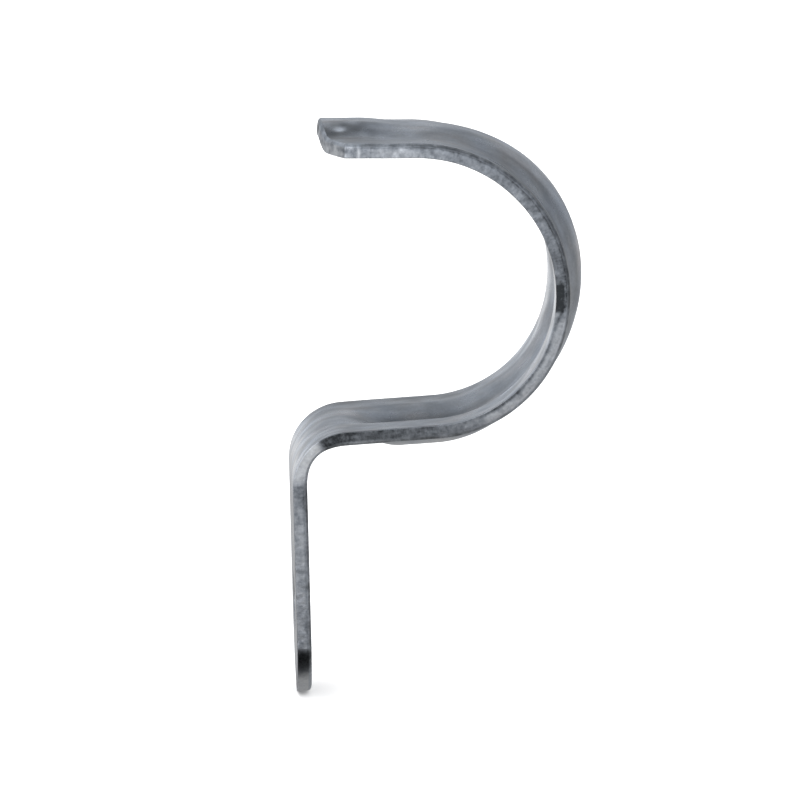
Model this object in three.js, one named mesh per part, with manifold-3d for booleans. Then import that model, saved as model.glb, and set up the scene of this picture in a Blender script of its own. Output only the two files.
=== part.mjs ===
// A pressed steel strap that grips a round or square bar against a flat surface.
//
// One strip of sheet: a flat tab that is screwed down, a right-angle bend, a short lower arm,
// an open ring, and an upper arm whose end is free. A rounded rib is pressed into the middle of
// the strip from the bend to the free end, and stiffens the ring.
//
// Units are millimetres. The tab's back face lies in the plane X = 0, the strip's width runs
// along Y, and Z points up the tab towards the ring. The origin is on the tab's back face, at
// mid-width, between the screw hole and the bend.

import * as THREE from "three";
import { mergeVertices } from "three/addons/utils/BufferGeometryUtils.js";
import Module from "manifold-3d";

// The sheet and the strip cut from it.
const SHEET = 1.6;
const WIDTH = 19;
const TAB_END_DROP = 6.5; // how far the middle of the tab's curved end stands past its corners
const FREE_END_DROP = 2.8; // the same for the upper arm's end

// The strip's centre line, followed along the face that touches the wall and the gripped bar.
const TAB_BOTTOM = -19.2;
const TAB_TOP = 5.3; // where the bend starts
const BEND_RADIUS = 6.3;
const BEND_THINNING = 0.3; // how much the sheet is drawn down in the middle of the bend
const LOWER_ARM_RISE = 2.6; // degrees above square to the tab
const LOWER_ARM_LENGTH = 10.2;
const LOWER_RING_RADIUS = 13.9;
const LOWER_RING_TURN = 71; // degrees
const UPPER_RING_RADIUS = 15.5;
const UPPER_RING_TURN = 105; // degrees
const UPPER_ARM_LENGTH = 10.6;

// The screw hole shares its centre with the curve of the tab's end.
const HOLE_DIAMETER = 6.5;

// The rib: its width, and how deep it is pressed at each place along the strip.
const RIB_WIDTH = 11;
const RIB_CROWN_WIDTH = 2.5; // the flat of its crest
const RIB_UNDER_RING = 1.85;
const RIB_ON_SHOULDER = 2; // on the upper right of the ring, where it is deepest
const RIB_SHALLOW = 0.95; // at the two places where the ring was squeezed round its former
const RIB_AT_FREE_END = 1.35;
const RIB_START_IN_BEND = 0.4; // the rib starts this far before the bend ends
const RIB_RUN_OUT = 6.5; // and takes this length to reach its depth
const SQUEEZED_TURN = 43; // degrees into the lower part of the ring
const SHOULDER_TURN = 46; // degrees into the upper part of the ring
const RIB_SETTLES = 6.3; // past the ring, where the depth stops changing

// How finely the solid is faceted.
const STEPS = { tab: 2, bend: 12, lowerArm: 8, lowerRing: 16, upperRing: 24, upperArm: 8 };
const RIB_STEPS = 12;
const CUTTER_STEPS = 40;
const CUTTER_MARGIN = 5; // how far a cutter reaches past the metal it cuts

const PLATED_STEEL = { color: 0x9ba1a8, roughness: 0.38, metalness: 0.9 };

const radians = THREE.MathUtils.degToRad;

// The centre line as straight runs and arcs. A negative turn is to the right.
const RUNS = [
  straight("tab", TAB_TOP - TAB_BOTTOM),
  arc("bend", BEND_RADIUS, LOWER_ARM_RISE - 90),
  straight("lowerArm", LOWER_ARM_LENGTH),
  arc("lowerRing", LOWER_RING_RADIUS, LOWER_RING_TURN),
  arc("upperRing", UPPER_RING_RADIUS, UPPER_RING_TURN),
  straight("upperArm", UPPER_ARM_LENGTH),
];

function straight(name, length) {
  return { name, length, turn: 0 };
}

function arc(name, radius, degrees) {
  return { name, length: radius * Math.abs(radians(degrees)), turn: radians(degrees) };
}

// The distance along the centre line at which a run ends.
function endOf(name) {
  const last = RUNS.findIndex((run) => run.name === name);
  return RUNS.slice(0, last + 1).reduce((sum, run) => sum + run.length, 0);
}

// Every station on the centre line: its point, its heading and its distance along the line.
function centreLine() {
  const stations = [{ x: 0, z: TAB_BOTTOM, heading: Math.PI / 2, along: 0 }];
  for (const run of RUNS) {
    const start = stations.at(-1);
    for (let i = 1; i <= STEPS[run.name]; i++) {
      stations.push(stationOn(run, start, i / STEPS[run.name]));
    }
  }
  return stations;
}

// The station a given share of the way along a run that begins at the station start.
function stationOn(run, start, share) {
  const turned = run.turn * share;
  const length = run.length * share;
  const chord = turned === 0 ? length : (length * Math.sin(turned / 2)) / (turned / 2);
  const direction = start.heading + turned / 2;
  return {
    x: start.x + (turned === 0 && start.heading === Math.PI / 2 ? 0 : chord * Math.cos(direction)),
    z: start.z + chord * Math.sin(direction),
    heading: start.heading + turned,
    along: start.along + length,
  };
}

// The rib's depth at a distance along the centre line, eased from each landmark to the next.
function ribDepth(along) {
  const ribStart = endOf("bend") - RIB_START_IN_BEND;
  const landmarks = [
    [ribStart, 0],
    [ribStart + RIB_RUN_OUT, RIB_UNDER_RING],
    [endOf("lowerArm"), RIB_UNDER_RING],
    [endOf("lowerArm") + LOWER_RING_RADIUS * radians(SQUEEZED_TURN), RIB_SHALLOW],
    [endOf("lowerRing") + UPPER_RING_RADIUS * radians(SHOULDER_TURN), RIB_ON_SHOULDER],
    [endOf("upperRing"), RIB_SHALLOW],
    [endOf("upperRing") + RIB_SETTLES, RIB_AT_FREE_END],
  ];
  const next = landmarks.findIndex(([place]) => place > along);
  if (next === 0) return 0;
  if (next < 0) return RIB_AT_FREE_END;
  const [from, shallow] = landmarks[next - 1];
  const [to, deep] = landmarks[next];
  const ease = (1 - Math.cos((Math.PI * (along - from)) / (to - from))) / 2;
  return shallow + (deep - shallow) * ease;
}

// The sheet's thickness at a distance along the centre line.
function thickness(along) {
  const share = (along - endOf("tab")) / (endOf("bend") - endOf("tab"));
  if (share <= 0 || share >= 1) return SHEET;
  return SHEET - BEND_THINNING * Math.sin(Math.PI * share) ** 2;
}

// The rib's cross-section, from 1 on its crest to 0 at its foot.
function ribShape(y) {
  const down = (Math.abs(y) - RIB_CROWN_WIDTH / 2) / ((RIB_WIDTH - RIB_CROWN_WIDTH) / 2);
  return (1 + Math.cos(Math.PI * THREE.MathUtils.clamp(down, 0, 1))) / 2;
}

// The places across the width: both edges of the strip, and even steps across the rib.
function acrossStrip() {
  const places = [-WIDTH / 2];
  for (let i = 0; i <= RIB_STEPS; i++) places.push(RIB_WIDTH * (i / RIB_STEPS - 0.5));
  places.push(WIDTH / 2);
  return places;
}

// The whole strip with square ends: a box of sheet, one cell per station, bent to the centre line.
function bentStrip() {
  const stations = centreLine();
  const places = acrossStrip();
  const sheet = new THREE.BoxGeometry(
    stations.length - 1,
    places.length - 1,
    1,
    stations.length - 1,
    places.length - 1,
    1,
  );
  const points = sheet.getAttribute("position");
  for (let i = 0; i < points.count; i++) {
    const station = stations[Math.round(points.getX(i) + (stations.length - 1) / 2)];
    const y = places[Math.round(points.getY(i) + (places.length - 1) / 2)];
    const face = points.getZ(i) < 0 ? thickness(station.along) : 0;
    const out = face + ribDepth(station.along) * ribShape(y);
    const outX = station.heading === Math.PI / 2 ? out : out * Math.sin(station.heading);
    const outZ = station.heading === Math.PI / 2 ? 0 : -out * Math.cos(station.heading);
    points.setXYZ(i, station.x + outX, y, station.z + outZ);
  }
  return sheet;
}

// The radius of a curved end whose middle stands the given drop past its corners.
function endRadius(drop) {
  return (WIDTH ** 2 / 4 + drop ** 2) / (2 * drop);
}

// A cutter for a curved end, as an outline with its tip at the origin and the strip above it.
function endCutter(drop, depth) {
  const radius = endRadius(drop);
  const side = WIDTH / 2 + CUTTER_MARGIN;
  const corner = Math.asin(WIDTH / 2 / radius);
  const outline = new THREE.Shape();
  outline.moveTo(-side, -CUTTER_MARGIN);
  outline.lineTo(side, -CUTTER_MARGIN);
  outline.lineTo(side, drop);
  outline.lineTo(WIDTH / 2, drop);
  outline.absarc(0, radius, radius, corner - Math.PI / 2, -corner - Math.PI / 2, true);
  outline.lineTo(-side, drop);
  outline.closePath();
  const cutter = new THREE.ExtrudeGeometry(outline, {
    depth,
    bevelEnabled: false,
    curveSegments: CUTTER_STEPS,
  });
  return cutter.translate(0, 0, -depth / 2);
}

// The tab's end cutter stands upright, across X.
function tabEndCutter() {
  const cutter = endCutter(TAB_END_DROP, 2 * (SHEET + CUTTER_MARGIN));
  cutter.rotateX(Math.PI / 2);
  cutter.rotateZ(Math.PI / 2);
  return cutter.translate(0, 0, TAB_BOTTOM);
}

// The free end's cutter lies across the upper arm and points back along it.
function freeEndCutter() {
  const end = centreLine().at(-1);
  const cutter = endCutter(FREE_END_DROP, 2 * (SHEET + RIB_ON_SHOULDER + CUTTER_MARGIN));
  cutter.rotateZ(-Math.PI / 2);
  cutter.rotateY(Math.PI - end.heading);
  return cutter.translate(end.x, 0, end.z);
}

function screwHole() {
  const length = 2 * (SHEET + CUTTER_MARGIN);
  const drill = new THREE.CylinderGeometry(
    HOLE_DIAMETER / 2,
    HOLE_DIAMETER / 2,
    length,
    CUTTER_STEPS,
  );
  drill.rotateZ(Math.PI / 2);
  return drill.translate(0, 0, TAB_BOTTOM + endRadius(TAB_END_DROP));
}

const wasm = await Module();
wasm.setup();

// A closed three.js geometry as a manifold-3d solid.
function toSolid(geometry) {
  const bare = geometry.clone();
  bare.deleteAttribute("normal");
  bare.deleteAttribute("uv");
  const merged = mergeVertices(bare);
  const mesh = new wasm.Mesh({
    numProp: 3,
    vertProperties: merged.getAttribute("position").array,
    triVerts: new Uint32Array(merged.index.array),
  });
  return new wasm.Manifold(mesh);
}

// A manifold-3d solid as a three.js geometry.
function toGeometry(solid) {
  const mesh = solid.getMesh();
  const geometry = new THREE.BufferGeometry();
  geometry.setAttribute("position", new THREE.BufferAttribute(mesh.vertProperties, mesh.numProp));
  geometry.setIndex(new THREE.BufferAttribute(mesh.triVerts, 1));
  geometry.computeVertexNormals();
  return geometry;
}

function makeStrap() {
  const solid = toSolid(bentStrip())
    .subtract(toSolid(tabEndCutter()))
    .subtract(toSolid(freeEndCutter()))
    .subtract(toSolid(screwHole()));
  const strap = new THREE.Mesh(toGeometry(solid), new THREE.MeshStandardMaterial(PLATED_STEEL));
  strap.name = "strap";
  return strap;
}

const frameGrip = new THREE.Group();
frameGrip.name = "frame_grip";
frameGrip.add(makeStrap());

export default frameGrip;
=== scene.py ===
"""The finished look of the frame grip: one pressed, zinc-plated steel strap on a pale floor.

The strap is built again here as a fine mesh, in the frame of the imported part. Its shape is worked
out in strip coordinates, in millimetres: along the strip from the tab's end, across it from its
middle, and out through the sheet from the face that touches the wall and the gripped bar. The
mesh is turned into metres once, when it is made.
"""

import math

import bpy
import numpy as np
from mathutils import Matrix, Vector, noise


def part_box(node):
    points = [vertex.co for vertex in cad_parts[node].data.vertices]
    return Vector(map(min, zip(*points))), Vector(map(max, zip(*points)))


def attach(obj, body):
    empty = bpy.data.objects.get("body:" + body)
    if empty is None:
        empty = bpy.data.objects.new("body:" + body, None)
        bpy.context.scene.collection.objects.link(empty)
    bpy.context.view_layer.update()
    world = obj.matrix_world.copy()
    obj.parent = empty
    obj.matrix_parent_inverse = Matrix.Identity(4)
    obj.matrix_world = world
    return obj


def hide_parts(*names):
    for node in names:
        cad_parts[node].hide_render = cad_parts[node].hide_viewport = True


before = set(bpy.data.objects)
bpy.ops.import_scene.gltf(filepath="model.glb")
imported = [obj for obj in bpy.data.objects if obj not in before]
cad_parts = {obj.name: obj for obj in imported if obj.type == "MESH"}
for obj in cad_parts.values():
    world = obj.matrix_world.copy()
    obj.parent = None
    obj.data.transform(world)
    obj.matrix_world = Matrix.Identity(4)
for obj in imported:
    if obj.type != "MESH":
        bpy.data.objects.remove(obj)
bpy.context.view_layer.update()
strap_low, strap_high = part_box("strap")

MM = 0.001

# --- The strap's dimensions, in millimetres and degrees ---------------------------------------

WIDTH = (strap_high.y - strap_low.y) / MM
TAB_BOTTOM = strap_low.z / MM
SHEET = 1.6
TAB_TOP = 5.3
TAB_END_DROP = 6.5
FREE_END_DROP = 2.8
BEND_RADIUS = 6.3
BEND_THINNING = 0.3
LOWER_ARM_RISE = 2.6
LOWER_ARM_LENGTH = 10.2
LOWER_RING_RADIUS = 13.9
LOWER_RING_TURN = 71
UPPER_RING_RADIUS = 15.5
UPPER_RING_TURN = 105
UPPER_ARM_LENGTH = 10.6
HOLE_RADIUS = 3.25

RIB_WIDTH = 11
RIB_CROWN_WIDTH = 2.5
RIB_UNDER_RING = 1.85
RIB_ON_SHOULDER = 2.0
RIB_SHALLOW = 0.95
RIB_AT_FREE_END = 1.35
RIB_START_IN_BEND = 0.4
RIB_RUN_OUT = 6.5
SQUEEZED_TURN = 43
SHOULDER_TURN = 46
RIB_SETTLES = 6.3

DENT_FROM_END = 2.4
DENT_ACROSS = 3.2  # from the middle, towards the front
DENT_LENGTH = 0.7
DENT_WIDTH = 0.4
DENT_DEPTH = 0.12
GLINT_FROM_END = 3.5  # a painted highlight: a glint on the front edge
GLINT_SIZE = 0.3
GLINT_LINE_FROM_END = 4.35  # a painted highlight: a bright line right across the front edge
GLINT_LINE_WIDTH = 0.2

# The strip's runs, in order: name, length, and turn in radians, where a turn to the right is negative.
RUNS = [
    ("tab", TAB_TOP - TAB_BOTTOM, 0.0),
    ("bend", BEND_RADIUS * math.radians(90 - LOWER_ARM_RISE), math.radians(LOWER_ARM_RISE - 90)),
    ("lower_arm", LOWER_ARM_LENGTH, 0.0),
    ("lower_ring", LOWER_RING_RADIUS * math.radians(LOWER_RING_TURN), math.radians(LOWER_RING_TURN)),
    ("upper_ring", UPPER_RING_RADIUS * math.radians(UPPER_RING_TURN), math.radians(UPPER_RING_TURN)),
    ("upper_arm", UPPER_ARM_LENGTH, 0.0),
]


def end_of(name):
    """The distance along the strip at which a run ends."""
    total = 0.0
    for run, length, _ in RUNS:
        total += length
        if run == name:
            return total
    raise ValueError(name)


STRIP_LENGTH = end_of("upper_arm")

# --- How the edges were cut, and how finely they are meshed ------------------------------------

# A sheared edge from the inner face to the outer one, as (how far in from the outline, how far
# out through the sheet): a burr, the torn fracture, and the burnished land that rolls over.
EDGE_PROFILE = [
    (0.07, 0.00),
    (0.02, 0.02),
    (0.00, 0.07),
    (0.01, 0.15),
    (0.02, 0.29),
    (0.03, 0.43),
    (0.04, 0.57),
    (0.05, 0.71),
    (0.06, 0.85),
    (0.08, 0.99),
    (0.10, 1.12),
    (0.12, 1.22),
    (0.15, 1.31),
    (0.19, 1.40),
    (0.25, 1.48),
    (0.33, 1.54),
    (0.42, 1.58),
    (0.52, 1.60),
]
BURR_LEVEL = 1
FRACTURE_LEVELS = range(2, 11)  # of the profile
TEAR_DEPTH = 0.02
ROWS = 500
COLUMNS = 80
HOLE_RINGS = 9
TAB_MORPH = 17.0  # the rows straighten from the tab's curved end over this length
FREE_MORPH = 9.0
HOLE_MARGIN = 1.9  # from the hole's wall to the square patch of mesh round it
WAVINESS = 0.05  # how far the pressed sheet wanders from its ideal shape


def end_radius(drop):
    """The radius of a curved end whose middle stands the drop past its corners."""
    return (WIDTH**2 / 4 + drop**2) / (2 * drop)


TAB_END_RADIUS = end_radius(TAB_END_DROP)
FREE_END_RADIUS = end_radius(FREE_END_DROP)


# --- From strip coordinates to space -----------------------------------------------------------


def centre_line(along):
    """The point and heading of the strip's inner face at each distance along it."""
    along = np.asarray(along, float)
    x = np.zeros_like(along)
    z = np.full_like(along, TAB_BOTTOM)
    heading = np.full_like(along, math.pi / 2)
    start = 0.0
    start_x, start_z, start_heading = 0.0, TAB_BOTTOM, math.pi / 2
    for _, length, turn in RUNS:
        inside = along >= start - 1e-9
        walked = np.clip(along - start, 0.0, length)
        turned = turn * walked / length
        chord = walked * np.sinc(turned / 2 / math.pi)
        direction = start_heading + turned / 2
        x = np.where(inside, start_x + chord * np.cos(direction), x)
        z = np.where(inside, start_z + chord * np.sin(direction), z)
        heading = np.where(inside, start_heading + turned, heading)
        full_chord = length * np.sinc(turn / 2 / math.pi)
        start_x += full_chord * math.cos(start_heading + turn / 2)
        start_z += full_chord * math.sin(start_heading + turn / 2)
        start_heading += turn
        start += length
    return x, z, heading


def eased(along, landmarks):
    """A value that eases from each landmark, a (place, value) pair, to the next."""
    value = np.full_like(along, landmarks[0][1], dtype=float)
    for (start, before), (end, after) in zip(landmarks, landmarks[1:]):
        share = np.clip((along - start) / (end - start), 0, 1)
        value += (after - before) * (1 - np.cos(np.pi * share)) / 2
    return value


def turned(run, radius, degrees):
    """The distance along the strip at which it has turned by the degrees past the end of a run."""
    return end_of(run) + radius * math.radians(degrees)


def rib_depth(along):
    """How deep the rib is pressed at each distance along the strip."""
    rib_start = end_of("bend") - RIB_START_IN_BEND
    return eased(
        along,
        [
            (rib_start, 0.0),
            (rib_start + RIB_RUN_OUT, RIB_UNDER_RING),
            (end_of("lower_arm"), RIB_UNDER_RING),
            (turned("lower_arm", LOWER_RING_RADIUS, SQUEEZED_TURN), RIB_SHALLOW),
            (turned("lower_ring", UPPER_RING_RADIUS, SHOULDER_TURN), RIB_ON_SHOULDER),
            (end_of("upper_ring"), RIB_SHALLOW),
            (end_of("upper_ring") + RIB_SETTLES, RIB_AT_FREE_END),
        ],
    )


def rib_shape(across):
    """The rib's cross-section, from 1 on its crown to 0 at its foot."""
    slope = (RIB_WIDTH - RIB_CROWN_WIDTH) / 2
    down = np.clip((np.abs(across) - RIB_CROWN_WIDTH / 2) / slope, 0, 1)
    return (1 + np.cos(np.pi * down)) / 2


def thickness(along):
    """The sheet's thickness, which the bend draws down a little."""
    share = np.clip((along - end_of("tab")) / (end_of("bend") - end_of("tab")), 0, 1)
    return SHEET - BEND_THINNING * np.sin(np.pi * share) ** 2


def waves(along, across):
    """The sheet's slight waviness, from 0 to 1. The flat tab has none."""
    slow = [noise.noise(Vector((a * 0.16, y * 0.13, 3.7))) for a, y in zip(along, across)]
    quick = [noise.noise(Vector((a * 0.45, y * 0.3, 8.1))) for a, y in zip(along, across)]
    wave = 0.5 + 0.6 * np.array(slow) + 0.25 * np.array(quick)
    return np.clip(wave, 0, 1) * np.clip((along - end_of("tab")) / BEND_RADIUS, 0, 1)


def dent(along, across):
    """The small dent that a tool left on the rib by the free end, from 0 to 1."""
    reach = ((along - STRIP_LENGTH + DENT_FROM_END) / DENT_LENGTH) ** 2
    reach = reach + ((across + DENT_ACROSS) / DENT_WIDTH) ** 2
    return np.exp(-(reach**1.5))


def place(along, across, out):
    """Points in space, in millimetres, from strip coordinates."""
    x, z, heading = centre_line(along)
    lift = out * thickness(along) / SHEET + rib_depth(along) * rib_shape(across)
    lift = lift - WAVINESS * waves(along, across) - DENT_DEPTH * dent(along, across)
    return np.stack([x + lift * np.sin(heading), across, z - lift * np.cos(heading)], axis=-1)


# --- How light or dark the metal is painted at each place: painted light and shade, and random tone ---


def in_upper_ring(degrees):
    return turned("lower_ring", UPPER_RING_RADIUS, degrees)


def front_edge_light_and_shade(along):
    """Painted light and shade along the front edge: lighter round the bend, darker after it, along the lower arm and
    round the upper ring.
    """
    bend_end = end_of("bend")
    return eased(
        along,
        [
            (end_of("tab") - 6.0, 0.9),
            (end_of("tab"), 0.75),
            (end_of("tab") + 2.5, 1.4),
            (bend_end - 4.2, 1.5),
            (bend_end - 2.6, 0.35),
            (bend_end + 2.0, 0.45),
            (end_of("lower_arm"), 0.6),
            (turned("lower_arm", LOWER_RING_RADIUS, 30), 0.98),
            (in_upper_ring(0), 1.0),
            (in_upper_ring(18), 0.62),
            (in_upper_ring(60), 0.72),
            (in_upper_ring(100), 0.82),
            (STRIP_LENGTH - 8.5, 1.0),
            (STRIP_LENGTH - 5.0, 0.78),
        ],
    )


def blotch(along, out):
    """The black patch on the torn part of the front edge, half way round the ring."""
    ends = [(in_upper_ring(7.5), 0.0), (in_upper_ring(10), 1.0), (in_upper_ring(18), 1.0)]
    return eased(along, ends + [(in_upper_ring(21), 0.0)]) * np.clip((0.92 - out) / 0.12, 0, 1)


def edge_line(along, out):
    """A painted line of shade along the front edge where the tear starts: by the inner face below, and by the outer
    one above.
    """
    line_out = eased(along, [(in_upper_ring(0), 0.22), (in_upper_ring(18), 1.28)])
    depth = eased(
        along,
        [
            (turned("lower_arm", LOWER_RING_RADIUS, 10), 0.0),
            (turned("lower_arm", LOWER_RING_RADIUS, 30), 0.5),
            (in_upper_ring(0), 0.3),
            (in_upper_ring(30), 0.55),
            (in_upper_ring(80), 0.5),
            (STRIP_LENGTH - 6, 0.35),
        ],
    )
    return depth * np.exp(-(((out - line_out) / 0.2) ** 2))


def edge_tone(along, across, out):
    """How light the sheared edges are."""
    # Painted light and shade and a painted line of shade along the front edge, times the black patch.
    front = front_edge_light_and_shade(along) * (1 - edge_line(along, out)) * (1 - 0.95 * blotch(along, out))
    from_end = STRIP_LENGTH - along
    # Painted highlights on the front edge: a glint and a bright line across it by the free end, and painted light on
    # its outer part below the lower arm.
    glint = (from_end - GLINT_FROM_END) ** 2 + (out - 1.35) ** 2
    front = front + 0.8 * np.exp(-glint / GLINT_SIZE**2)
    front = front + 0.5 * np.exp(-(((from_end - GLINT_LINE_FROM_END) / GLINT_LINE_WIDTH) ** 2))
    painted_light_below_arm = eased(along, [(end_of("bend") - 3, 0.0), (end_of("bend") + 1, 1.0), (end_of("lower_arm"), 0.0)])
    front = front + 0.5 * painted_light_below_arm * np.clip((out - 1.05) / 0.25, 0, 1)
    share = np.clip(-across / (WIDTH / 2), 0, 1) ** 8
    edge = 0.9 + (front - 0.9) * share
    # Painted light and shade on the tab's curved end: lighter at its tip, darker at its corners. The tab's side
    # edges are a little darker towards the outer face.
    tab_end = eased(np.abs(across), [(6.5, 1.6), (8.6, 0.5)])
    edge = edge - 0.2 * (along < end_of("tab")) * np.clip((out - 0.9) / 0.3, 0, 1)
    edge = np.where(along < TAB_END_DROP, tab_end, edge)
    # The free end's edge: random mottling, and painted light towards the front that fades towards the back.
    mottled = [noise.noise(Vector((y * 1.1, o * 1.6, 6.1))) for y, o in zip(across, out)]
    at_free_end = np.clip((FREE_END_DROP + 1.2 - from_end) / 1.2, 0, 1)
    free_end = 1.08 + 0.5 * np.array(mottled) - 0.4 * np.clip((across + 5) / 4, 0, 1)
    edge = edge + (free_end - edge) * at_free_end
    return edge * np.where(out < EDGE_PROFILE[2][1], 0.75, 1.0)


def dark_patch_and_dent_highlight(along, across):
    """A darker patch round the dent and by the free end, from 0 to 1, with a painted highlight on the dent's floor.
    """
    from_end = STRIP_LENGTH - along
    patch = np.exp(-(((from_end - 2.6) / 4.2) ** 4) - ((across + 2.9) / 2.4) ** 4)
    uneven = [noise.noise(Vector((a * 0.7, y * 0.9, 5.3))) for a, y in zip(along, across)]
    by_the_end = 0.6 * np.exp(-(((from_end - 1.2) / 2.0) ** 4) - ((across + 4.2) / 1.1) ** 4)
    patch = patch * (0.75 + 0.9 * np.array(uneven)) + by_the_end
    return np.clip(patch, 0, 1.2) - 1.7 * dent(along, across)


def inner_shade(along, across):
    """How much darker the inner face is painted: painted shade along the lower arm, at the foot of the rib, on the
    far flange, in a thin line by the near lip and on the tab up to the bend.
    """
    bend_end = end_of("bend")
    ring = turned("lower_arm", LOWER_RING_RADIUS, 50)
    arm = eased(along, [(bend_end - 6, 0.0), (bend_end - 1, 1.0), (end_of("lower_arm"), 1.0), (ring, 0.0)])
    foot = eased(along, [(bend_end + 3, 0.0), (bend_end + 6, 1.0), (end_of("lower_arm"), 1.0), (ring, 0.0)])
    groove_foot = np.exp(-(((across - 2.6) / 0.6) ** 2))
    far_flange = 0.12 * np.clip((across - 4.5) / 2, 0, 1) + 0.14 * np.clip((across - 6.5) / 1.5, 0, 1)
    tab_back = 0.25 * eased(along, [(end_of("tab") - 2, 1.0), (end_of("tab") + 1, 0.0)])
    # Painted light lifts the hollow where the groove starts; a painted line of shade runs by the near lip.
    hollow = eased(along, [(bend_end - 1, 0.0), (bend_end + 1.5, 1.0), (bend_end + 3.5, 1.0), (bend_end + 5.5, 0.0)])
    hollow = 0.25 * hollow * np.exp(-(((across - 2.8) / 1.4) ** 2))
    lip = eased(along, [(bend_end + 4, 0.0), (bend_end + 6, 1.0), (bend_end + 8.5, 1.0), (bend_end + 10.5, 0.0)])
    lip = 0.22 * lip * np.exp(-(((across + 5.1) / 0.8) ** 2))
    return arm * (0.23 + far_flange) - hollow + 0.35 * foot * groove_foot + lip + tab_back


def outer_shade(along, across):
    """How much darker the outer face is: painted shade on the lower arm and beside the front edge round the ring,
    painted light on the ring's crown, random streaks, painted shade on the top arm's flange and in a thin dark line
    along its rib, and the darker patch round the dent with its painted highlight.
    """
    bend_end = end_of("bend")
    ring = turned("lower_arm", LOWER_RING_RADIUS, 50)
    arm = eased(along, [(bend_end - 5, 0.0), (bend_end, 1.0), (end_of("lower_arm"), 1.0), (ring, 0.0)])
    shoulder = eased(
        along,
        [(in_upper_ring(8), 0.0), (in_upper_ring(30), 1.0), (in_upper_ring(62), 1.0), (in_upper_ring(88), 0.0)],
    )
    top_arm = eased(along, [(in_upper_ring(90), 0.0), (in_upper_ring(104), 1.0)])
    # Painted shade in a thin dark line along the rib's near slope on the top arm, and beside the front edge round
    # the ring; painted light on the ring's crown.
    painted_slope_line = np.exp(-(((across + 3.7) / 0.5) ** 2))
    shade_beside_edge = np.clip((-across - 1.5) / 6, 0, 1)
    painted_light_on_crown = np.clip((across + 3.8) / 2.2, 0, 1)
    streaks = [noise.noise(Vector((a * 0.1, y * 1.1, 2.9))) for a, y in zip(along, across)]
    on_ring = shoulder * (0.3 * shade_beside_edge - 0.42 * painted_light_on_crown + 0.3 * np.array(streaks))
    on_arm = top_arm * (0.05 + 0.1 * np.clip((-across - 3.5) / 1.5, 0, 1) + 0.12 * painted_slope_line)
    return 0.3 * arm + on_ring + on_arm + 0.45 * dark_patch_and_dent_highlight(along, across)


def face_tone(along, across, out):
    """How light the faces are."""
    return 1 - np.where(out > SHEET / 2, outer_shade(along, across), inner_shade(along, across))


def tone(along, across, out):
    """How light the metal is at each point, where 1 is fresh zinc: painted light and shade, with random tone."""
    on_edge = (out > EDGE_PROFILE[0][1]) & (out < EDGE_PROFILE[-1][1])
    return np.where(on_edge, edge_tone(along, across, out), face_tone(along, across, out))


# --- The mesh ----------------------------------------------------------------------------------


def grid_point(row, column, inset):
    """The strip coordinates of a grid point, when the outline is drawn in by the inset."""
    across = (2 * column / COLUMNS - 1) * (WIDTH / 2 - inset)
    first = TAB_END_RADIUS - math.sqrt((TAB_END_RADIUS - inset) ** 2 - across**2)
    last = FREE_END_RADIUS - math.sqrt((FREE_END_RADIUS - inset) ** 2 - across**2)
    along = STRIP_LENGTH * row / ROWS
    near_tab = max(0.0, 1 - along / TAB_MORPH)
    near_free = max(0.0, 1 - (STRIP_LENGTH - along) / FREE_MORPH)
    return along + first * near_tab - last * near_free, across


def rim_cells():
    """The grid points round the outline, in order, each as (row, column)."""
    points = [(row, 0) for row in range(ROWS)]
    points += [(ROWS, column) for column in range(COLUMNS)]
    points += [(row, COLUMNS) for row in range(ROWS, 0, -1)]
    points += [(0, column) for column in range(COLUMNS, 0, -1)]
    return points


def hole_patch():
    """The rows and columns of the square of cells that the screw hole's rings take the place of."""
    reach = HOLE_RADIUS + HOLE_MARGIN
    centre = TAB_END_RADIUS
    rows = [r for r in range(ROWS) if abs(grid_point(r, COLUMNS // 2, 0)[0] - centre) <= reach]
    columns = [c for c in range(COLUMNS) if abs(grid_point(ROWS // 2, c, 0)[1]) <= reach]
    return rows[0], rows[-1], columns[0], columns[-1]


def patch_rim():
    """The grid points round the hole's patch, in order, each as (row, column)."""
    low, high, left, right = hole_patch()
    points = [(row, left) for row in range(low, high)]
    points += [(high, column) for column in range(left, right)]
    points += [(row, right) for row in range(high, low, -1)]
    points += [(low, column) for column in range(right, left, -1)]
    return points


class StripMesh:
    """Collects vertices in strip coordinates, and faces with a material index each."""

    def __init__(self):
        self.points = []
        self.faces = []
        self.materials = []

    def vertex(self, along, across, out):
        self.points.append((along, across, out))
        return len(self.points) - 1

    def quad(self, a, b, c, d, material):
        self.faces.append((a, b, c, d))
        self.materials.append(material)


PLATING, FRACTURE, BURNISHED = range(3)


def torn(along, across, out):
    """How far the fracture is torn in from the outline at a point: never outwards."""
    here = Vector((along * 1.7, across * 1.7, out * 1.2))
    coarse = noise.noise(here)
    fine = noise.noise(here * 2.3)
    return TEAR_DEPTH * max(0.0, 0.8 + 1.1 * coarse + 0.8 * fine)


def edge_material(level):
    """The material of the band between a level of the edge profile and the next."""
    if level in FRACTURE_LEVELS:
        return FRACTURE
    return BURNISHED if level > FRACTURE_LEVELS[0] else PLATING


def add_face(mesh, inset, out, flip):
    """One face of the sheet, as a grid with the hole's patch left out, and its vertices by cell."""
    vertices = {}
    for row in range(ROWS + 1):
        for column in range(COLUMNS + 1):
            along, across = grid_point(row, column, inset)
            vertices[row, column] = mesh.vertex(along, across, out)
    low, high, left, right = hole_patch()
    for row in range(ROWS):
        for column in range(COLUMNS):
            if low <= row < high and left <= column < right:
                continue
            corners = [
                vertices[row, column],
                vertices[row, column + 1],
                vertices[row + 1, column + 1],
                vertices[row + 1, column],
            ]
            if flip:
                corners.reverse()
            mesh.quad(*corners, PLATING)
    return vertices


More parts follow.
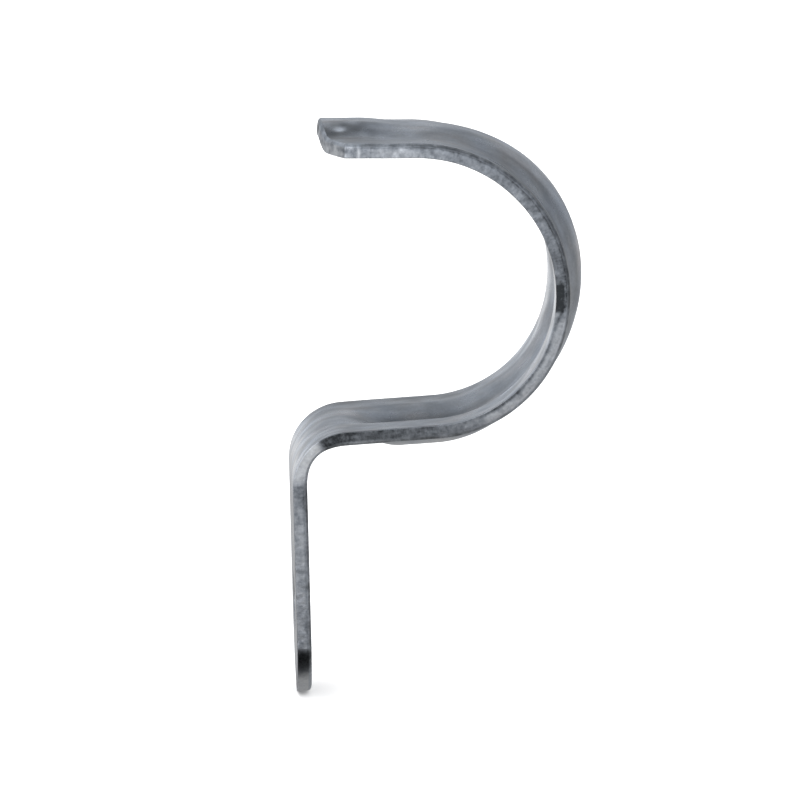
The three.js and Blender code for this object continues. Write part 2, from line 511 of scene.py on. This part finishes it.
def add_hole_rings(mesh, vertices, inset, out, flip):
    """Rings of cells from the patch's square rim in to the hole, and the innermost ring."""
    rim = patch_rim()
    outer = [vertices[cell] for cell in rim]
    starts = [mesh.points[v][:2] for v in outer]
    ring = outer
    for step in range(1, HOLE_RINGS + 1):
        share = (step / HOLE_RINGS) ** 0.8
        inner = []
        for along, across in starts:
            angle = math.atan2(along - TAB_END_RADIUS, across)
            radius = HOLE_RADIUS + inset
            goal_along = TAB_END_RADIUS + radius * math.sin(angle)
            goal_across = radius * math.cos(angle)
            inner.append(
                mesh.vertex(
                    along + (goal_along - along) * share,
                    across + (goal_across - across) * share,
                    out,
                )
            )
        stitch(mesh, ring, inner, PLATING, flip)
        ring = inner
    return ring


def stitch(mesh, ring, next_ring, material, flip):
    """A closed band of cells between two rings of vertices."""
    for i in range(len(ring)):
        j = (i + 1) % len(ring)
        corners = [ring[i], ring[j], next_ring[j], next_ring[i]]
        if flip:
            corners.reverse()
        mesh.quad(*corners, material)


def add_edge(mesh, first_ring, last_ring, point_at, flip):
    """A sheared edge between the rings at the two faces. point_at(i, inset) gives a ring's points."""
    ring = first_ring
    for level in range(1, len(EDGE_PROFILE)):
        if level == len(EDGE_PROFILE) - 1:
            next_ring = last_ring
        else:
            inset, out = EDGE_PROFILE[level]
            next_ring = []
            for i in range(len(first_ring)):
                along, across = point_at(i, inset)
                if BURR_LEVEL <= level <= FRACTURE_LEVELS[-1]:
                    along, across = point_at(i, inset + torn(along, across, out))
                next_ring.append(mesh.vertex(along, across, out))
        stitch(mesh, ring, next_ring, edge_material(level - 1), flip)
        ring = next_ring


def build_strip_mesh():
    """The whole strap, in strip coordinates."""
    mesh = StripMesh()
    inner_inset, inner_out = EDGE_PROFILE[0]
    outer_inset, outer_out = EDGE_PROFILE[-1]
    inner = add_face(mesh, inner_inset, inner_out, flip=False)
    outer = add_face(mesh, outer_inset, outer_out, flip=True)
    inner_hole = add_hole_rings(mesh, inner, inner_inset, inner_out, flip=True)
    outer_hole = add_hole_rings(mesh, outer, outer_inset, outer_out, flip=False)
    rim = rim_cells()

    def outline_point(i, inset):
        return grid_point(*rim[i], inset)

    def hole_point(i, inset):
        along, across = mesh.points[inner_hole[i]][:2]
        angle = math.atan2(along - TAB_END_RADIUS, across)
        radius = HOLE_RADIUS + inset
        return TAB_END_RADIUS + radius * math.sin(angle), radius * math.cos(angle)

    add_edge(mesh, [inner[c] for c in rim], [outer[c] for c in rim], outline_point, flip=False)
    add_edge(mesh, inner_hole, outer_hole, hole_point, flip=True)
    return mesh


def used_only(points, faces):
    """The points that a face uses, and the faces renumbered to match."""
    used = sorted({v for face in faces for v in face})
    new_number = {old: new for new, old in enumerate(used)}
    return points[used], [[new_number[v] for v in face] for face in faces]


def make_strap():
    """The strap as a Blender object, with its strip coordinates kept for the materials."""
    built = build_strip_mesh()
    strip, faces = used_only(np.array(built.points), built.faces)
    space = place(strip[:, 0], strip[:, 1], strip[:, 2]) * MM
    mesh = bpy.data.meshes.new("strap_plated")
    mesh.from_pydata(space.tolist(), [], faces)
    mesh.update()
    coordinates = mesh.attributes.new("strip", "FLOAT_VECTOR", "POINT")
    coordinates.data.foreach_set("vector", strip.astype(np.float32).ravel())
    # This attribute carries the painted light and shade, with the random tone, to the materials.
    tones = mesh.attributes.new("tone", "FLOAT", "POINT")
    tones.data.foreach_set("value", tone(*strip.T).astype(np.float32))
    for material in (plating(), fracture(), burnished()):
        mesh.materials.append(material)
    mesh.polygons.foreach_set("material_index", np.array(built.materials, np.int32))
    mesh.shade_smooth()
    strap = bpy.data.objects.new("strap_plated", mesh)
    bpy.context.scene.collection.objects.link(strap)
    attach(strap, "root")
    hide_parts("strap")
    return strap


# --- Materials ---------------------------------------------------------------------------------


class Nodes:
    """A node tree, with short ways to add nodes and do sums in it."""

    def __init__(self, tree):
        self.tree = tree

    def add(self, kind, **settings):
        node = self.tree.nodes.new(kind)
        for name, value in settings.items():
            setattr(node, name, value)
        return node

    def feed(self, socket, value):
        """Joins a socket to an output, or sets it to a number or a tuple of numbers."""
        if isinstance(value, bpy.types.NodeSocket):
            self.tree.links.new(value, socket)
        else:
            socket.default_value = value

    def math(self, operation, *values):
        node = self.add("ShaderNodeMath", operation=operation)
        for socket, value in zip(node.inputs, values):
            self.feed(socket, value)
        return node.outputs[0]

    def total(self, *values):
        result = values[0]
        for value in values[1:]:
            result = self.math("ADD", result, value)
        return result

    def times(self, *values):
        result = values[0]
        for value in values[1:]:
            result = self.math("MULTIPLY", result, value)
        return result

    def rise(self, value, low, high, to_low=0.0, to_high=1.0):
        """A smooth change from one level to another as a value goes from low to high."""
        node = self.add("ShaderNodeMapRange", interpolation_type="SMOOTHSTEP")
        for name, number in zip(("Value", "From Min", "From Max", "To Min", "To Max"),
                                (value, low, high, to_low, to_high)):
            self.feed(node.inputs[name], number)
        return node.outputs["Result"]

    def scaled(self, colour, amount):
        node = self.add("ShaderNodeVectorMath", operation="SCALE")
        self.feed(node.inputs[0], colour)
        self.feed(node.inputs["Scale"], amount)
        return node.outputs[0]

    def axes(self, vector):
        node = self.add("ShaderNodeSeparateXYZ")
        self.feed(node.inputs[0], vector)
        return node.outputs

    def mix(self, share, first, second):
        node = self.add("ShaderNodeMix", data_type="RGBA")
        self.feed(node.inputs["Factor"], share)
        self.feed(node.inputs["A"], first)
        self.feed(node.inputs["B"], second)
        return node.outputs["Result"]

    def ramp(self, value, *stops):
        """A colour ramp: each stop is (position, (red, green, blue))."""
        node = self.add("ShaderNodeValToRGB")
        elements = node.color_ramp.elements
        while len(elements) < len(stops):
            elements.new(0.5)
        for element, (position, colour) in zip(elements, stops):
            element.position = position
            element.color = (*colour, 1.0)
        self.feed(node.inputs["Fac"], value)
        return node.outputs["Color"]

    def attribute(self, name, output):
        return self.add("ShaderNodeAttribute", attribute_name=name).outputs[output]

    def is_reflection(self):
        return self.add("ShaderNodeLightPath").outputs["Is Glossy Ray"]


class Metal(Nodes):
    """A metal whose textures lie along the strip."""

    def __init__(self, name):
        self.material = bpy.data.materials.new(name)
        self.material.use_nodes = True
        super().__init__(self.material.node_tree)
        self.strip = self.attribute("strip", "Vector")
        self.tone = self.attribute("tone", "Fac")

    def noise(self, per_mm, detail=3.0, roughness=0.55, shift=0.0):
        """Noise with so many grains to the millimetre along the strip, across it and through it."""
        mapping = self.add("ShaderNodeMapping")
        self.feed(mapping.inputs["Vector"], self.strip)
        mapping.inputs["Scale"].default_value = per_mm
        mapping.inputs["Location"].default_value = (shift, shift, shift)
        texture = self.add("ShaderNodeTexNoise")
        texture.inputs["Scale"].default_value = 1.0
        texture.inputs["Detail"].default_value = detail
        texture.inputs["Roughness"].default_value = roughness
        self.feed(texture.inputs["Vector"], mapping.outputs["Vector"])
        return texture.outputs["Fac"]

    def bump(self, height, depth_mm, below=None):
        node = self.add("ShaderNodeBump")
        node.inputs["Distance"].default_value = depth_mm * MM
        self.feed(node.inputs["Height"], height)
        if below is not None:
            self.feed(node.inputs["Normal"], below)
        return node.outputs["Normal"]

    def finish(self, colour, roughness, normal):
        shader = self.tree.nodes["Principled BSDF"]
        shader.inputs["Metallic"].default_value = 1.0
        self.feed(shader.inputs["Base Color"], colour)
        self.feed(shader.inputs["Roughness"], roughness)
        self.feed(shader.inputs["Normal"], normal)
        return self.material


def plating():
    """Bright zinc on rolled sheet: faint rolling lines, clouds, a slight tint and a fine grain."""
    metal = Metal("zinc_plating")
    clouds = metal.noise((0.30, 0.5, 0.5), detail=2.0)
    tints = metal.noise((0.22, 0.35, 0.35), shift=40.0)
    lines = metal.noise((0.14, 1.5, 1.5), detail=1.0, roughness=0.5)
    scratches = metal.noise((0.25, 14.0, 14.0), detail=2.0, shift=9.0)
    grain = metal.noise((4.0, 4.0, 4.0), detail=3.0)
    tinted = metal.ramp(
        tints, (0.36, (0.56, 0.60, 0.66)), (0.5, (0.58, 0.61, 0.65)), (0.64, (0.605, 0.61, 0.63))
    )
    # The tone attribute brings in the painted light and shade.
    shade = metal.times(
        metal.rise(clouds, 0.3, 0.7, 0.84, 1.12),
        metal.rise(lines, 0.32, 0.68, 0.95, 1.03),
        metal.rise(scratches, 0.3, 0.42, 0.97, 1.0),
        metal.rise(grain, 0.3, 0.7, 0.95, 1.05),
        metal.tone,
    )
    colour = metal.scaled(tinted, shade)
    roughness = metal.rise(clouds, 0.3, 0.7, 0.36, 0.26)
    normal = metal.bump(lines, 0.0008)
    normal = metal.bump(scratches, 0.0008, below=normal)
    normal = metal.bump(grain, 0.010, below=normal)
    return metal.finish(colour, roughness, normal)


def fracture():
    """The torn part of a sheared edge: grains and short tears through the sheet."""
    metal = Metal("torn_edge")
    patches = metal.noise((0.8, 0.8, 1.2), detail=3.0, shift=5.0)
    tears = metal.noise((2.0, 2.0, 1.3), detail=4.0, roughness=0.6)
    grains = metal.noise((4.5, 4.5, 4.5), detail=3.0, roughness=0.6)
    # The tone attribute brings in the painted light and shade, with random patches.
    patchy_tone_and_painted_light = metal.total(metal.tone, metal.rise(patches, 0.3, 0.7, -0.09, 0.09))
    light = metal.total(
        metal.rise(tears, 0.25, 0.75, -0.04, 0.04),
        metal.rise(grains, 0.25, 0.75, -0.025, 0.025),
        metal.rise(patchy_tone_and_painted_light, 0.1, 1.6, 0.18, 0.66),
    )
    colour = metal.ramp(
        light,
        (0.20, (0.05, 0.055, 0.06)),
        (0.38, (0.30, 0.32, 0.35)),
        (0.52, (0.56, 0.58, 0.61)),
        (0.70, (0.86, 0.88, 0.90)),
    )
    roughness = metal.rise(tears, 0.3, 0.7, 0.55, 0.4)
    normal = metal.bump(tears, 0.016)
    normal = metal.bump(grains, 0.007, below=normal)
    return metal.finish(colour, roughness, normal)


def burnished():
    """The land that the blade rubbed smooth, with fine lines through the sheet."""
    metal = Metal("burnished_edge")
    rubs = metal.noise((3.0, 3.0, 0.6), detail=4.0)
    patches = metal.noise((0.8, 0.8, 1.2), detail=3.0, shift=5.0)
    tinted = metal.ramp(rubs, (0.3, (0.38, 0.41, 0.45)), (0.7, (0.56, 0.59, 0.63)))
    # The tone attribute brings in the painted light and shade, with random patches.
    patchy_tone_and_painted_light = metal.total(metal.tone, metal.rise(patches, 0.3, 0.7, -0.2, 0.2))
    colour = metal.scaled(tinted, metal.rise(patchy_tone_and_painted_light, 0.1, 1.4, 0.25, 1.25))
    roughness = metal.rise(patches, 0.3, 0.7, 0.36, 0.46)
    normal = metal.bump(rubs, 0.015)
    return metal.finish(colour, roughness, normal)


# --- Stage, light and camera -------------------------------------------------------------------

FLOOR_SIZE = 40.0
CAMERA_DISTANCE = 1.0
CAMERA_LENS = 405.0  # millimetres, on Blender's 36 mm sensor
CAMERA_YAW = 1.9
CAMERA_ELEVATION = 10.3
CAMERA_ROLL = -1.44
LOOK_OFFSET = Vector((-4.04, 0.0, 0.36)) * MM  # from the middle of the strap's box


def floor_in_metal(nodes):
    """How light the floor looks in the metal: a dark flag by the tab's foot, and paler behind."""
    place_on_floor = nodes.add("ShaderNodeTexCoord").outputs["Object"]
    x, y, _ = nodes.axes(place_on_floor)
    behind = nodes.total(nodes.rise(y, -0.004, 0.02, 0.32, 0.62), nodes.rise(y, 0.1, 0.22, 0.0, 0.35))
    in_front = nodes.rise(y, -0.05, -0.16, 0.0, 0.65)
    right = nodes.rise(x, 0.03, 0.16, 1.0, 0.42)
    left = nodes.rise(x, -0.10, -0.28, 1.0, 0.6)
    flag_x = nodes.math("DIVIDE", nodes.math("SUBTRACT", x, 0.001), 0.007)
    flag_y = nodes.math("DIVIDE", nodes.math("ADD", y, 0.018), 0.011)
    from_flag = nodes.math("SQRT", nodes.total(nodes.times(flag_x, flag_x), nodes.times(flag_y, flag_y)))
    flag = nodes.rise(from_flag, 0.8, 1.15, 0.02, 1.0)
    return nodes.times(nodes.total(behind, in_front), right, left, flag)


def make_floor():
    """A pale matt floor. The metal sees it darker, as it would in a studio with black flags."""
    material = bpy.data.materials.new("pale_floor")
    material.use_nodes = True
    nodes = Nodes(material.node_tree)
    matt = material.node_tree.nodes["Principled BSDF"]
    matt.inputs["Base Color"].default_value = (0.9, 0.9, 0.9, 1)
    matt.inputs["Roughness"].default_value = 0.9
    matt.inputs["Specular IOR Level"].default_value = 0.1
    seen = nodes.add("ShaderNodeEmission")
    nodes.feed(seen.inputs["Strength"], floor_in_metal(nodes))
    either = nodes.add("ShaderNodeMixShader")
    nodes.feed(either.inputs[0], nodes.is_reflection())
    nodes.feed(either.inputs[1], matt.outputs[0])
    nodes.feed(either.inputs[2], seen.outputs[0])
    nodes.feed(material.node_tree.nodes["Material Output"].inputs["Surface"], either.outputs[0])
    half = FLOOR_SIZE / 2
    mesh = bpy.data.meshes.new("floor")
    corners = [(-half, -half, 0), (half, -half, 0), (half, half, 0), (-half, half, 0)]
    mesh.from_pydata(corners, [], [(0, 1, 2, 3)])
    mesh.materials.append(material)
    floor = bpy.data.objects.new("floor", mesh)
    floor.location.z = strap_low.z
    bpy.context.scene.collection.objects.link(floor)


def walls_in_metal(nodes):
    """How light the room looks in the metal in each direction."""
    direction = nodes.add("ShaderNodeTexCoord").outputs["Generated"]
    x, y, z = nodes.axes(direction)
    wall = nodes.rise(x, 0.02, 0.22, 0.48, 0.28)
    low_behind = nodes.times(nodes.rise(z, 0.2, 0.0), nodes.rise(y, 0.5, 0.95), nodes.rise(x, 0.1, -0.1, 0.0, 0.3))
    softbox = nodes.times(nodes.rise(y, -0.3, -0.8, 0.0, 1.1), nodes.rise(z, -0.05, 0.1), nodes.rise(z, 0.5, 0.3))
    return nodes.total(wall, low_behind, softbox)


def make_world():
    """A white room that lights the floor. Reflections see a softbox and grey walls instead."""
    world = bpy.data.worlds.new("studio")
    bpy.context.scene.world = world
    world.use_nodes = True
    nodes = Nodes(world.node_tree)
    seen = nodes.scaled((0.96, 1.0, 1.06), walls_in_metal(nodes))
    background = world.node_tree.nodes["Background"]
    nodes.feed(background.inputs["Color"], nodes.mix(nodes.is_reflection(), (2.0, 2.0, 2.0, 1), seen))


def make_camera():
    yaw = math.radians(CAMERA_YAW)
    elevation = math.radians(CAMERA_ELEVATION)
    roll = math.radians(CAMERA_ROLL)
    forward = Vector(
        (
            math.sin(yaw) * math.cos(elevation),
            math.cos(yaw) * math.cos(elevation),
            -math.sin(elevation),
        )
    )
    level_right = forward.cross(Vector((0, 0, 1))).normalized()
    level_up = level_right.cross(forward)
    right = level_right * math.cos(roll) + level_up * math.sin(roll)
    up = level_up * math.cos(roll) - level_right * math.sin(roll)
    target = (strap_low + strap_high) / 2 + LOOK_OFFSET
    place_at = target - forward * CAMERA_DISTANCE
    data = bpy.data.cameras.new("camera")
    data.lens = CAMERA_LENS
    data.clip_start = 0.05
    data.clip_end = 100.0
    camera = bpy.data.objects.new("camera", data)
    axes = Matrix((right, up, -forward)).transposed().to_4x4()
    camera.matrix_world = Matrix.Translation(place_at) @ axes
    bpy.context.scene.collection.objects.link(camera)
    bpy.context.scene.camera = camera


strap = make_strap()
make_floor()
make_world()
make_camera()
bpy.context.scene.view_settings.view_transform = "Standard"
bpy.context.scene.cycles.use_denoising = True
